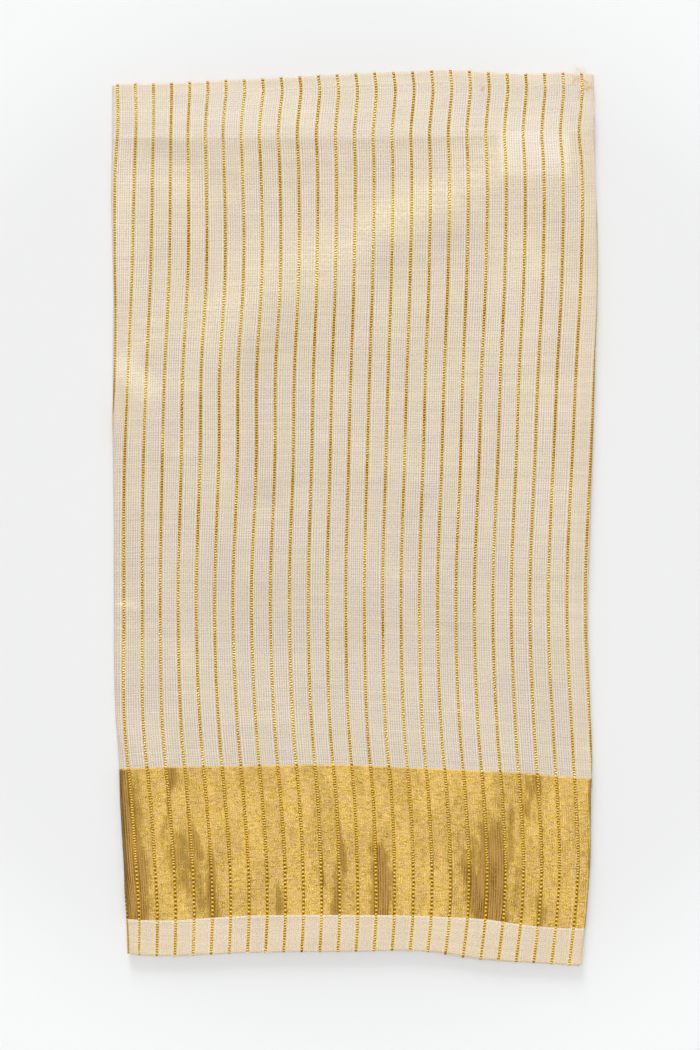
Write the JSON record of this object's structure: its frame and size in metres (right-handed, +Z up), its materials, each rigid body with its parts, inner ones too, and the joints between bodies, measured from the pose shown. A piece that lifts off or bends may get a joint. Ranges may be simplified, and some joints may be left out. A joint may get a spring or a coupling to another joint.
{
  "type": "dhoti cloth",
  "caption": "Small dhoti cloth, folded and laid flat: cream tissue with lengthwise gold zari stripes and a gold zari border above the bottom hem.",
  "frame": {"origin": "centre of the folded cloth's box, on the surface it lies on", "axes": "+Y runs along the cloth from the bottom hem to the top hem, +X from the folded left edge to the hemmed right edge, +Z up out of the front"},
  "size_m": [0.2048, 0.3764, 0.0047],
  "materials": {
    "striped_tissue": "fine cream tissue weave with raised gold zari stripes, soft sheen",
    "turned_hem": "doubled cream tissue, more opaque, with raised gold zari stripes",
    "zari_weave": "woven gold zari, metallic satin",
    "hidden_cloth": "cream tissue in layers, soft sheen"
  },
  "bodies": {
    "root": {"top_hem": "turned_hem", "front_panel": "striped_tissue", "zari_border": "zari_weave", "bottom_hem": "turned_hem", "hidden_layers": "hidden_cloth"}
  },
  "joints": []
}
